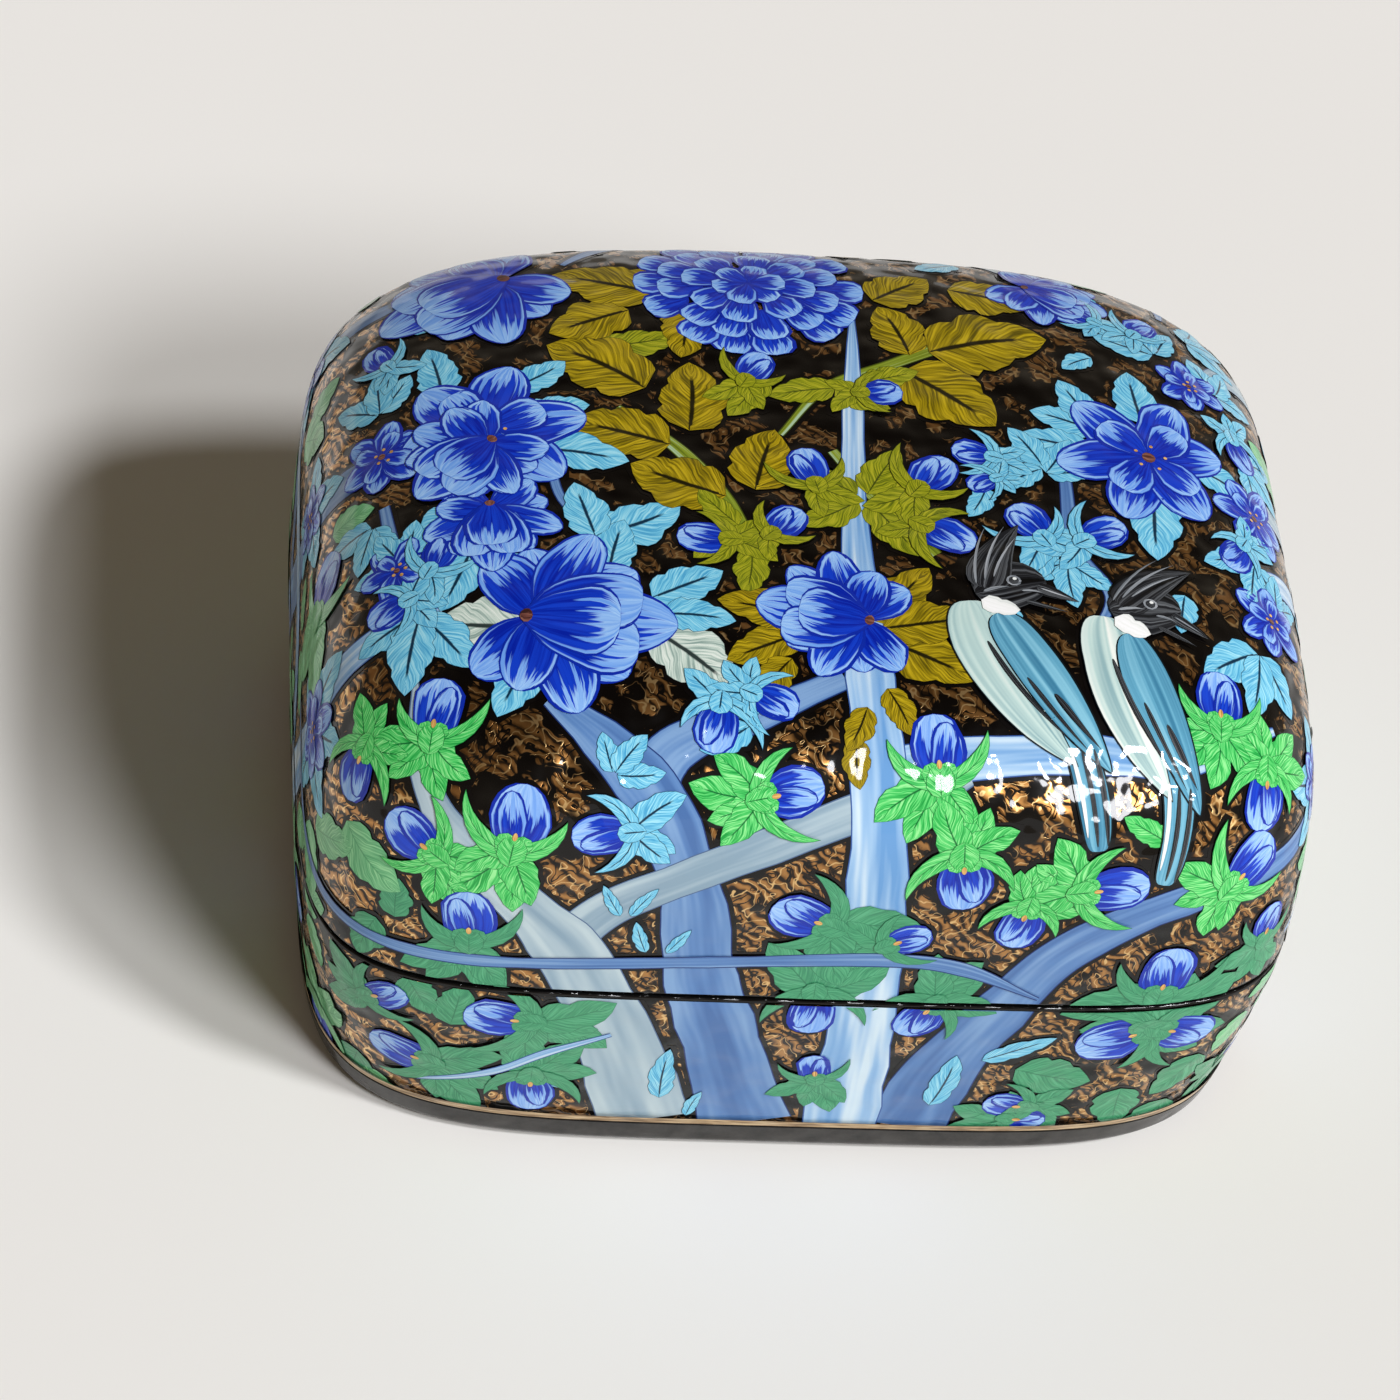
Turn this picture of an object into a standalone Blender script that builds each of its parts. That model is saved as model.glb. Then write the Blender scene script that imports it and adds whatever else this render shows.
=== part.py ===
# Papier mache trinket box: a rounded, four-sided box with a gently domed lid that lifts straight off.
#
# Such a box is laid up in paper over a mould as one closed form, and then sawn apart at the seam, so the
# lid and the base share one outer surface. A card collar, glued inside the base, stands above the seam and
# keeps the lid in place. A board closes the underside and shows as the dark foot.
#
# Metres, +Z up. X runs along the wide side and Y along the deep side. The origin is on the table, under
# the middle of the box.

import math

import bmesh
import bpy

# Outer form: width and depth are taken at the seam, where the box is widest
WIDTH = 0.1000
DEPTH = 0.0830
HEIGHT = 0.0575
SEAM_HEIGHT = 0.0246

# How square each level is: 2 is an ellipse, and a higher number has flatter sides and tighter corners
FOOT_SQUARENESS = 4.7
SEAM_SQUARENESS = 6.0
CROWN_SQUARENESS = 2.3
# The same number for the lid's profile: how flat its top is, and how tight its shoulder
SHOULDER_SQUARENESS = 4.6
# How far the wall leans in between the seam and the table, and how gradually
FOOT_LEAN = 0.0025
LEAN_POWER = 1.35

# Paper, board and card
WALL = 0.0028
BOARD_THICKNESS = 0.0036
COLLAR_THICKNESS = 0.0015
COLLAR_RISE = 0.0045
COLLAR_DEPTH = 0.0095

# Edges: the wall stands upright for a short way on each side of the seam
RIM_UPRIGHT = 0.0010
RIM_RADIUS = 0.0005
BOARD_RADIUS = 0.0014
COLLAR_RADIUS = 0.0004

# Gaps: between faces that are glued or rest on each other, and between the collar and both shells
SEAT_GAP = 0.0003
COLLAR_GAP = 0.0004

# Facets
SEGMENTS = 72
DOME_LEVELS = 13
WALL_LEVELS = 5
# Spreads the points round a level: a higher number brings more of them to the corners
CORNER_CROWDING = 4.0
# The dome's last ring, as a share of its full size: the crown inside it is flat
CROWN_FLAT = 0.12


def level(half_width, half_depth, squareness, z):
    """One ring of points round the box: a superellipse at height z, with the same bearings on every level."""
    ring = []
    for i in range(SEGMENTS):
        turn = 2 * math.pi * i / SEGMENTS
        x = math.copysign(abs(math.cos(turn)) ** (2 / CORNER_CROWDING), math.cos(turn)) * WIDTH
        y = math.copysign(abs(math.sin(turn)) ** (2 / CORNER_CROWDING), math.sin(turn)) * DEPTH
        size = (abs(x / half_width) ** squareness + abs(y / half_depth) ** squareness) ** (1 / squareness)
        ring.append((x / size, y / size, z))
    return ring


def seam_level(z):
    """A ring of the outer form at its widest, as on the upright rims."""
    return level(WIDTH / 2, DEPTH / 2, SEAM_SQUARENESS, z)


def wall_level(z):
    """A ring of the outer form below the rims, where the wall leans in towards the table."""
    start = SEAM_HEIGHT - RIM_UPRIGHT
    down = (start - z) / start
    lean = FOOT_LEAN * down**LEAN_POWER
    squareness = SEAM_SQUARENESS + (FOOT_SQUARENESS - SEAM_SQUARENESS) * down
    return level(WIDTH / 2 - lean, DEPTH / 2 - lean, squareness, z)


def wall_levels(bottom):
    """Evenly spaced rings of the outer form, from a height below the seam to the upright rim."""
    top = SEAM_HEIGHT - RIM_UPRIGHT
    return [wall_level(bottom + (top - bottom) * i / WALL_LEVELS) for i in range(WALL_LEVELS + 1)]


def dome_level(up):
    """A ring of the outer form above the rims, with up from 0 at the skirt to 1 at the crown."""
    start = SEAM_HEIGHT + RIM_UPRIGHT
    shrink = (1 - up**SHOULDER_SQUARENESS) ** (1 / SHOULDER_SQUARENESS)
    squareness = SEAM_SQUARENESS + (CROWN_SQUARENESS - SEAM_SQUARENESS) * up**2
    return level(WIDTH / 2 * shrink, DEPTH / 2 * shrink, squareness, start + (HEIGHT - start) * up)


def dome_levels():
    """Rings from the skirt to the crown, crowded together round the shoulder, where the lid curves most."""
    steps = [math.sin(math.pi / 2 * i / DOME_LEVELS) ** (2 / SHOULDER_SQUARENESS) for i in range(DOME_LEVELS)]
    steps.append((1 - CROWN_FLAT**SHOULDER_SQUARENESS) ** (1 / SHOULDER_SQUARENESS))
    return [dome_level(up) for up in steps]


def loft(name, rings, material, capped_at=()):
    """A surface through rings of equally many points, from the bottom up, with a flat cap on the named ends."""
    bm = bmesh.new()
    loops = [[bm.verts.new(point) for point in ring] for ring in rings]
    for lower, upper in zip(loops, loops[1:]):
        for i in range(SEGMENTS):
            j = (i + 1) % SEGMENTS
            bm.faces.new((lower[i], lower[j], upper[j], upper[i]))
    if "bottom" in capped_at:
        bm.faces.new(reversed(loops[0]))
    if "top" in capped_at:
        bm.faces.new(loops[-1])
    mesh = bpy.data.meshes.new(name)
    bm.to_mesh(mesh)
    bm.free()
    mesh.shade_smooth()
    mesh.set_sharp_from_angle(angle=math.radians(35))
    mesh.materials.append(material)
    made = bpy.data.objects.new(name, mesh)
    collection.objects.link(made)
    return made


def thicken(piece, thickness, inset=0.0):
    """Give a surface a wall on its inner side, starting at inset from the surface."""
    solidify = piece.modifiers.new("wall", "SOLIDIFY")
    solidify.thickness = thickness
    solidify.offset = -1 - 2 * inset / thickness
    solidify.use_even_offset = True


def round_edges(piece, radius):
    """Round the piece's square edges, and leave its own facets as they are."""
    bevel = piece.modifiers.new("rounded edges", "BEVEL")
    bevel.width = radius
    bevel.segments = 2
    bevel.limit_method = "ANGLE"
    bevel.angle_limit = math.radians(60)


def lacquer(name, colour, roughness):
    """Paint under a clear varnish."""
    material = bpy.data.materials.new(name)
    material.use_nodes = True
    shader = material.node_tree.nodes["Principled BSDF"]
    shader.inputs["Base Color"].default_value = (*colour, 1)
    shader.inputs["Roughness"].default_value = roughness
    shader.inputs["Metallic"].default_value = 0.0
    shader.inputs["Coat Weight"].default_value = 1.0
    shader.inputs["Coat Roughness"].default_value = 0.05
    return material


def make_foot_board():
    """The board under the base, a little smaller at the table, with only its lower edge rounded."""
    rings = [wall_level(0), wall_level(BOARD_THICKNESS)]
    board = loft("foot_board", rings, black_lacquer, capped_at=("bottom", "top"))
    bm = bmesh.new()
    bm.from_mesh(board.data)
    lower_edge = [edge for edge in bm.edges if all(vert.co.z < BOARD_THICKNESS / 2 for vert in edge.verts)]
    bmesh.ops.bevel(bm, geom=lower_edge, offset=BOARD_RADIUS, segments=4, profile=0.5, affect="EDGES")
    bm.to_mesh(board.data)
    bm.free()


def make_base_shell():
    """The lower part of the moulded form, with its floor resting on the board."""
    rings = wall_levels(BOARD_THICKNESS + SEAT_GAP) + [seam_level(SEAM_HEIGHT - SEAT_GAP / 2)]
    shell = loft("base_shell", rings, painted_lacquer, capped_at=("bottom",))
    thicken(shell, WALL)
    round_edges(shell, RIM_RADIUS)


def make_lip_collar():
    """The card strip: it lines the base's wall below the seam, and stands straight up into the lid."""
    rings = wall_levels(SEAM_HEIGHT - COLLAR_DEPTH) + [seam_level(SEAM_HEIGHT + COLLAR_RISE)]
    collar = loft("lip_collar", rings, black_lacquer)
    thicken(collar, COLLAR_THICKNESS, inset=WALL + COLLAR_GAP)
    round_edges(collar, COLLAR_RADIUS)


def make_lid_shell():
    """The upper part of the moulded form, from its upright rim to the crown."""
    rings = [seam_level(SEAM_HEIGHT + SEAT_GAP / 2)] + dome_levels()
    shell = loft("lid_shell", rings, painted_lacquer, capped_at=("top",))
    thicken(shell, WALL)
    round_edges(shell, RIM_RADIUS)


for old in list(bpy.data.objects):
    bpy.data.objects.remove(old)

collection = bpy.data.collections.new("papier_mache_trinket_box")
bpy.context.scene.collection.children.link(collection)

painted_lacquer = lacquer("painted_lacquer", (0.10, 0.19, 0.33), 0.30)
black_lacquer = lacquer("black_lacquer", (0.012, 0.012, 0.013), 0.25)

make_foot_board()
make_base_shell()
make_lip_collar()
make_lid_shell()
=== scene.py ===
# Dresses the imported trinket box: lacquered shells, painted flowers and birds, floor, light and camera.
# Places on the box are in millimetres, in its own frame: X to the right, Y to the back, Z up.
import math
import random

import bmesh
import bpy
import numpy as np
from mathutils import Matrix, Vector, kdtree


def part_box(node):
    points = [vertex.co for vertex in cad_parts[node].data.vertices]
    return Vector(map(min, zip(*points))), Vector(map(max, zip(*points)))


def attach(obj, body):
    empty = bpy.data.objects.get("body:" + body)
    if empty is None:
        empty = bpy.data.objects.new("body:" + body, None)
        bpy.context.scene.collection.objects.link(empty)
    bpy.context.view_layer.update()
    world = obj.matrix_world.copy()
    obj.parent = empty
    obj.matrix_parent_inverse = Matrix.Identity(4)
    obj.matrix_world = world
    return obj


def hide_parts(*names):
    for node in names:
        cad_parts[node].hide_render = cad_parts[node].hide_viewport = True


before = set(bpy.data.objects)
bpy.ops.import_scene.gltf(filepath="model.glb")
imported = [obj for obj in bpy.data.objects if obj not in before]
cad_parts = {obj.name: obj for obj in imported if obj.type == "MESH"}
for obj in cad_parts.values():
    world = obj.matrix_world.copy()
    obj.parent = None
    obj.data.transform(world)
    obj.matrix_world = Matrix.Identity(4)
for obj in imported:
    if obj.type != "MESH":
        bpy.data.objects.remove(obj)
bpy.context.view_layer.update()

# The moulded form. Lid and base are laid up as one hollow body of paper over a mould, rubbed smooth and
# sawn apart at the seam, so all that follows is fitted to this one shape. Its level sections turn from
# nearly square at the seam to nearly oval at the crown.
MM = 0.001
lid_low, lid_high = (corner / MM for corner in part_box("lid_shell"))
base_low, base_high = (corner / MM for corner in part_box("base_shell"))
HALF_WIDTH = lid_high.x
HALF_DEPTH = lid_high.y
HEIGHT = lid_high.z
SEAM = (lid_low.z + base_high.z) / 2
UPRIGHT = 1.0
FOOT_LEAN = 2.5
LEAN_POWER = 1.35
FOOT_SQUARENESS = 4.7
SEAM_SQUARENESS = 6.0
CROWN_SQUARENESS = 2.3
SHOULDER_SQUARENESS = 4.6
HALVINGS = 40


def reach(points):
    """How far out each point lies as a share of the form: 1 on its surface, less inside. All level sections
    are superellipses. They close over the shoulder above the upright band at the seam, and lean in below."""
    x, y, z = points.T
    up = np.maximum(z - SEAM - UPRIGHT, 0) / (HEIGHT - SEAM - UPRIGHT)
    down = np.clip((SEAM - UPRIGHT - z) / (SEAM - UPRIGHT), 0, 1)
    lean = FOOT_LEAN * down**LEAN_POWER
    squareness = SEAM_SQUARENESS + (FOOT_SQUARENESS - SEAM_SQUARENESS) * down
    squareness += (CROWN_SQUARENESS - SEAM_SQUARENESS) * np.minimum(up, 1) ** 2
    level = np.abs(x / (HALF_WIDTH - lean)) ** squareness + np.abs(y / (HALF_DEPTH - lean)) ** squareness
    shoulder = level ** (SHOULDER_SQUARENESS / squareness) + up**SHOULDER_SQUARENESS
    return shoulder ** (1 / SHOULDER_SQUARENESS)


def slope(points):
    """The gradient of reach at each point, in shares per millimetre."""
    step = 0.01
    moves = np.eye(3) * step
    return np.stack([(reach(points + move) - reach(points - move)) / (2 * step) for move in moves], axis=1)


def outward(points):
    """The form's normal at each point."""
    found = slope(points)
    return found / np.linalg.norm(found, axis=1, keepdims=True)


def settle(points, tries=4):
    """Bring points onto the form by the shortest way."""
    for _ in range(tries):
        found = slope(points)
        points = points - found * ((reach(points) - 1) / (found**2).sum(axis=1))[:, None]
    return points


def ring(z, count=192):
    """Points round the form at one height, closer together at the corners."""
    turn = np.linspace(0, 2 * np.pi, count, endpoint=False)
    x = np.sign(np.cos(turn)) * np.abs(np.cos(turn)) ** 0.5 * HALF_WIDTH
    y = np.sign(np.sin(turn)) * np.abs(np.sin(turn)) ** 0.5 * HALF_DEPTH
    inside, outside = np.zeros(count), np.full(count, 1.5)
    for _ in range(HALVINGS):
        middle = (inside + outside) / 2
        points = np.stack([x * middle, y * middle, np.full(count, z)], axis=1)
        within = reach(points) < 1
        inside, outside = np.where(within, middle, inside), np.where(within, outside, middle)
    return points


# The foot board closes the underside. It is cut to the form's outline and glued on, with its lower edge
# rounded over so that the box doesn't scratch the table. Lamp-black paint is brushed onto it and
# varnished. Its edge is painted a lighter grey in patches: partly dull, dusty wear from use, and partly a
# painted reflection of the pale sheet it stands on.
board_low, board_high = (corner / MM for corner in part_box("foot_board"))
BOARD_RADIUS = 1.4
BOARD_STEPS = 6
DUST_AND_REFLECTION_MM = 3.0


def linear(colour):
    """An sRGB hex colour as linear red, green, blue and alpha."""
    channels = [int(colour[i : i + 2], 16) / 255 for i in (1, 3, 5)]
    return [c / 12.92 if c <= 0.04045 else ((c + 0.055) / 1.055) ** 2.4 for c in channels] + [1]


def add(tree, kind, inputs=None, stops=(), **settings):
    """One node, with its settings, colour stops, and input values or links."""
    made = tree.nodes.new("ShaderNode" + kind)
    for name, value in settings.items():
        setattr(made, name, value)
    for place, value in (inputs or {}).items():
        if isinstance(value, bpy.types.NodeSocket):
            tree.links.new(value, made.inputs[place])
        else:
            made.inputs[place].default_value = value
    for i, (position, colour) in enumerate(stops):
        element = made.color_ramp.elements[i] if i < 2 else made.color_ramp.elements.new(position)
        element.position = position
        element.color = linear(colour)
    return made


def varnished(name, roughness, wave_mm=4.0, wave_depth_mm=0.9):
    """A dull paint under clear varnish. The paint hardly shines by itself, and the varnish gives the gloss.
    The varnish is brushed on unevenly, and its waves bend the reflections."""
    material = bpy.data.materials.new(name)
    material.use_nodes = True
    tree = material.node_tree
    shader = tree.nodes["Principled BSDF"]
    shader.inputs["Roughness"].default_value = roughness
    shader.inputs["IOR"].default_value = 1.5
    shader.inputs["Specular IOR Level"].default_value = 0.06
    shader.inputs["Coat Weight"].default_value = 0.64
    shader.inputs["Coat Roughness"].default_value = 0.07
    shader.inputs["Coat IOR"].default_value = 1.5
    place = add(tree, "TexCoord").outputs["Object"]
    wave = add(tree, "TexNoise", {"Vector": place, "Scale": 1 / (wave_mm * MM), "Detail": 1.0})
    for normal, share in (("Normal", 0.1), ("Coat Normal", 1.0)):
        bump = add(tree, "Bump", {"Height": wave.outputs[0], "Distance": wave_depth_mm * share * MM})
        tree.links.new(bump.outputs[0], shader.inputs[normal])
    return material, tree, shader, place


# The edge is painted grey in patches, partly wear and partly a painted reflection of the pale sheet, and
# its varnish is a little thinner than elsewhere.
foot_black, tree, shader, place = varnished("foot edge, worn black lacquer", 0.45, 3.0, 0.3)
patchy_look = {"Vector": place, "Scale": 1 / (DUST_AND_REFLECTION_MM * MM), "Detail": 5.0, "Roughness": 0.7}
dust_and_reflection = add(tree, "TexNoise", patchy_look)
# Grey patches in the base colour: partly wear, partly a painted reflection of the sheet below.
wear_and_reflection = add(tree, "ValToRGB", {"Fac": dust_and_reflection.outputs[0]}, stops=[(0.35, "#1A1918"), (0.75, "#3C3936")])
tree.links.new(wear_and_reflection.outputs[0], shader.inputs["Base Color"])
shader.inputs["Coat Weight"].default_value = 0.6


def piece(name, points, faces, body):
    """A smooth mesh object, from points in millimetres, that rides on a body."""
    mesh = bpy.data.meshes.new(name)
    mesh.from_pydata((np.asarray(points) * MM).tolist(), [], faces)
    mesh.shade_smooth()
    made = bpy.data.objects.new(name, mesh)
    bpy.context.scene.collection.objects.link(made)
    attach(made, body)
    return made


def lofted(name, rings, body, caps):
    """A surface through rings of equally many points, from the bottom up, with the named flat caps."""
    count = len(rings[0])
    faces = []
    for level in range(len(rings) - 1):
        for i in range(count):
            low, low_next = level * count + i, level * count + (i + 1) % count
            faces.append((low, low_next, low_next + count, low + count))
    if "bottom" in caps:
        faces.append(tuple(reversed(range(count))))
    if "top" in caps:
        faces.append(tuple(range((len(rings) - 1) * count, len(rings) * count)))
    return piece(name, np.concatenate(rings), faces, body)


levels = []
for i in range(BOARD_STEPS + 1):
    turn = math.pi / 2 * i / BOARD_STEPS
    level = settle(ring(BOARD_RADIUS * (1 - math.cos(turn))))
    level[:, :2] -= outward(level)[:, :2] * BOARD_RADIUS * (1 - math.sin(turn))
    level[:, 2] = BOARD_RADIUS * (1 - math.cos(turn))
    levels.append(level)
levels.append(ring(board_high.z))
board = lofted("foot", levels, "base", caps=("bottom", "top"))
board.data.set_sharp_from_angle(angle=math.radians(50))
board.data.materials.append(foot_black)
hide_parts("foot_board")

# The collar is a strip of card glued round the inside of the base. It stands above the seam, and the lid
# slips down over it. Like the insides, it is brushed with lamp black and varnished, which leaves a deep
# gloss with a slight waviness.
collar_low, collar_high = (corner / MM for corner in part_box("lip_collar"))
COLLAR_INSET = HALF_WIDTH - collar_high.x
COLLAR_THICKNESS = 1.5
COLLAR_STEPS = 12
RIM_RADIUS = 0.4
black_lacquer, _, shader, _ = varnished("black lacquer, brushed and varnished", 0.35, 3.0, 0.3)
shader.inputs["Base Color"].default_value = linear("#121213")


def thicken(made, thickness, edge_radius):
    """Give a surface a wall and rounded rims. The inside takes the second material, the rims the third."""
    wall = made.modifiers.new("wall", "SOLIDIFY")
    wall.thickness = thickness * MM
    wall.offset = -1
    wall.use_even_offset = True
    wall.material_offset = 1
    wall.material_offset_rim = 2
    rim = made.modifiers.new("rounded rims", "BEVEL")
    rim.width = edge_radius * MM
    rim.segments = 3
    rim.limit_method = "ANGLE"
    rim.angle_limit = math.radians(60)


levels = []
for i in range(COLLAR_STEPS + 1):
    z = collar_low.z + (SEAM - UPRIGHT - collar_low.z) * i / COLLAR_STEPS
    level = ring(z)
    levels.append(level - outward(level) * COLLAR_INSET)
    levels[-1][:, 2] = z
top = levels[-1].copy()
top[:, 2] = collar_high.z
levels.append(top)
collar = lofted("collar", levels, "base", caps=())
thicken(collar, COLLAR_THICKNESS, RIM_RADIUS)
for _ in range(3):
    collar.data.materials.append(black_lacquer)
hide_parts("lip_collar")

# The two shells. The paper is primed, painted black, and scribbled all over with bronze powder paint, and
# the flowers go on top. Their outer face therefore lies under the form by the thickness of that painting,
# which is thicker here than the real paint so that each stroke can be a mesh of its own.
PAINTING = 0.36
WALL = 2.8
LID_LEVELS = 44
BASE_LEVELS = 14

# The lid's last ring lies just under the crown, and a small flat cap closes it.
CROWN_RISE = 0.99993

# The sawn rims get one more coat of black, which is smoother and shines more than the rest.
rim_lacquer, _, shader, _ = varnished("black lacquer run over the sawn rim", 0.2, 0.9, 0.4)
shader.inputs["Base Color"].default_value = linear("#0B0B0B")
shader.inputs["Coat Weight"].default_value = 0.9

# The bronze powder lies in patches: thin squiggles, and between them the streaks of a nearly dry brush. It
# shines like metal and stands up a little from the black. It thins out towards the crown and fills in on the
# walls, partly as it was laid and partly as painted shade on the top and painted light lower down.
DRIFT_MM = 3.0
SCRIBBLE_MM = 1.7
STREAK_MM = 0.8
PATCH_MM = 3.2
RELIEF_MM = 0.7
POWDER_MM = 0.02
SHADED_THIN_ABOVE = HEIGHT - 3
LIT_FULL_BELOW = HEIGHT - 12
BLACK_EDGE = 0.62
ground, tree, shader, place = varnished("black ground with bronze powder scribbles", 0.34)
drift = add(tree, "TexNoise", {"Vector": place, "Scale": 1 / (DRIFT_MM * MM), "Detail": 2.0})
sway = add(tree, "VectorMath", {0: drift.outputs["Color"], "Scale": DRIFT_MM * MM}, operation="SCALE")
swayed = add(tree, "VectorMath", {0: place, 1: sway.outputs[0]})
turns = add(tree, "TexNoise", {"Vector": swayed.outputs[0], "Scale": 1 / (SCRIBBLE_MM * MM), "Detail": 1.0})
looped = add(tree, "Math", {0: turns.outputs[0], 1: 3.7}, operation="MULTIPLY")
squiggle = add(tree, "Math", {0: looped.outputs[0], 1: 0.5}, operation="PINGPONG")
bands = {"Vector": swayed.outputs[0], "Scale": 0.314 / (STREAK_MM * MM), "Distortion": 3.0, "Detail": 2.0}
streak = add(tree, "TexWave", bands, bands_direction="DIAGONAL")
patch = add(tree, "TexNoise", {"Vector": place, "Scale": 1 / (PATCH_MM * MM), "Detail": 1.0})
split = add(tree, "SeparateXYZ", {"Vector": place})
# Height below the crown: more bronze lower down, partly painted shade on the top and painted light on the
# walls.
down = add(tree, "MapRange", {"Value": split.outputs[2], 1: SHADED_THIN_ABOVE * MM, 2: LIT_FULL_BELOW * MM})
lifted = add(tree, "Math", {0: down.outputs[0], 1: 0.1, 2: patch.outputs[0]}, operation="MULTIPLY_ADD")
wash = add(tree, "MapRange", {"Value": lifted.outputs[0], 1: 0.5, 2: 0.53})
gap = add(tree, "MapRange", {"Value": squiggle.outputs[0], 1: 0.39, 2: 0.45, 3: 1.0, 4: 0.0})
dry = add(tree, "MapRange", {"Value": streak.outputs["Fac"], 1: 0.1, 2: 0.36, 3: 0.08, 4: 1.0})
# Fainter bronze towards the crown, which is partly painted shade.
thin = add(tree, "MapRange", {"Value": down.outputs[0], 3: 0.6, 4: 1.0})
kept = add(tree, "Math", {0: gap.outputs[0], 1: dry.outputs[0]}, operation="MULTIPLY")
faint = add(tree, "Math", {0: wash.outputs[0], 1: thin.outputs[0]}, operation="MULTIPLY")
washed = add(tree, "Math", {0: kept.outputs[0], 1: faint.outputs[0]}, operation="MULTIPLY")
line = add(tree, "MapRange", {"Value": squiggle.outputs[0], 1: 0.03, 2: 0.08, 3: 1.0, 4: 0.0})
beside = add(tree, "MapRange", {"Value": lifted.outputs[0], 1: 0.46, 2: 0.53})
scribble = add(tree, "Math", {0: line.outputs[0], 1: beside.outputs[0]}, operation="MULTIPLY")
lines = add(tree, "Math", {0: scribble.outputs[0], 1: thin.outputs[0]}, operation="MULTIPLY")
bronze = add(tree, "Math", {0: lines.outputs[0], 1: washed.outputs[0]}, operation="MAXIMUM")
from_seam = add(tree, "Math", {0: split.outputs[2], 1: SEAM * MM, 2: BLACK_EDGE * MM}, operation="COMPARE")
off_seam = {0: bronze.outputs[0], 1: from_seam.outputs[0]}
clear = add(tree, "Math", off_seam, operation="SUBTRACT", use_clamp=True)
brown = add(tree, "ValToRGB", {"Fac": streak.outputs["Fac"]}, stops=[(0.2, "#6E4A24"), (1.0, "#C08A4E")])
both = {0: scribble.outputs[0], 6: brown.outputs[0], 7: linear("#F2C888")}
powder = add(tree, "Mix", both, data_type="RGBA")
over_black = {0: clear.outputs[0], 6: linear("#070504"), 7: powder.outputs[2]}
colour = add(tree, "Mix", over_black, data_type="RGBA")
tree.links.new(colour.outputs[2], shader.inputs["Base Color"])
metal = add(tree, "Math", {0: clear.outputs[0], 1: 1.3}, operation="MULTIPLY", use_clamp=True)
tree.links.new(metal.outputs[0], shader.inputs["Metallic"])
relief = shader.inputs["Normal"].links[0].from_node
relief.inputs["Distance"].default_value = RELIEF_MM * MM
height = {"Height": clear.outputs[0], "Distance": POWDER_MM * MM, "Normal": relief.outputs[0]}
raised = add(tree, "Bump", height)
tree.links.new(raised.outputs[0], shader.inputs["Normal"])


def shell(name, heights, body, cap, node):
    """A wall of the form, its outer face under the painting, and its inside plain black."""
    levels = []
    for z in heights:
        level = ring(z)
        level -= outward(level) * PAINTING
        if abs(z - SEAM) < UPRIGHT:
            level[:, 2] = z
        levels.append(level)
    made = lofted(name, levels, body, caps=(cap,))
    thicken(made, WALL - PAINTING, RIM_RADIUS)
    for material in (ground, black_lacquer, rim_lacquer):
        made.data.materials.append(material)
    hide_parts(node)


skirt = SEAM + UPRIGHT
angles = [math.pi / 2 * i / LID_LEVELS for i in range(LID_LEVELS)]
rises = [math.sin(angle) ** (2 / SHOULDER_SQUARENESS) for angle in angles] + [CROWN_RISE]
shell("lid", [lid_low.z] + [skirt + (HEIGHT - skirt) * rise for rise in rises], "lid", "top", "lid_shell")
step = (SEAM - UPRIGHT - base_low.z) / BASE_LEVELS
walls = [base_low.z + step * i for i in range(BASE_LEVELS + 1)]
shell("base", walls + [base_high.z], "base", "bottom", "base_shell")


# Boughs, in gouache, streaked with a nearly dry brush. Trunks in three blues rise from the foot on every
# side, fork over the shoulder of the lid, and run out thin under the flowers. Here and in all that
# follows, a stroke is a thin sheet of paint laid over the form, with bare black ground left round it.
FACES = {
    "top": ((0, 0, 1), (1, 0, 0)),
    "front": ((0, -1, 0), (1, 0, 0)),
    "right": ((1, 0, 0), (0, 1, 0)),
    "back": ((0, 1, 0), (-1, 0, 0)),
    "left": ((-1, 0, 0), (0, -1, 0)),
}
LAYER = 0.0135
FIRST_COAT = 0.02
BORDER = 0.46
CORNER = 26
SHOULDER = (34, 52)
BOUGH_STEP = 0.9
INNER_HEIGHT = 15.0
FAR_OUT = 70.0
SPOT_HALVINGS = 22
hand = random.Random(11)
strokes = []
paints = {}


def facing(point, rightwards):
    """A place: a point on the form, and which way is right and which is up there."""
    normal = outward(point[None])[0]
    right = rightwards - normal * normal.dot(rightwards)
    right /= np.linalg.norm(right)
    return point, right, np.cross(normal, right)


def spot(face, a, b):
    """The place at x and y on the top, at x and z on the front and back, or at y and z on the sides."""
    out, right = (np.array(axis, float) for axis in FACES[face])
    start = {"top": (a, b, INNER_HEIGHT), "front": (a, 0, b), "back": (a, 0, b)}.get(face, (0, a, b))
    start = np.array(start, float)
    inside, outside = 0.0, FAR_OUT
    for _ in range(SPOT_HALVINGS):
        middle = (inside + outside) / 2
        if reach((start + out * middle)[None])[0] < 1:
            inside = middle
        else:
            outside = middle
    return facing(start + out * inside, right)


def columns_across(kind, halves, point):
    """Where the points of each row lie across a stroke, closer together on the tight bends at the corners
    and over the shoulder. A black border needs none under its own paint."""
    if kind == "contour":
        inner = np.maximum(halves - BORDER - 0.3, 0.01) / halves
        return np.stack([-np.ones(len(halves)), -inner, inner, np.ones(len(halves))], axis=1)
    apart = 1.25
    if SHOULDER[0] < point[2] < SHOULDER[1]:
        apart = 0.85
    if np.abs(point[:2]).min() > CORNER:
        apart = 0.65
    count = 2 * math.ceil(halves.max() / apart) + 1
    return np.tile(np.linspace(-1, 1, count), (len(halves), 1))


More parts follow.
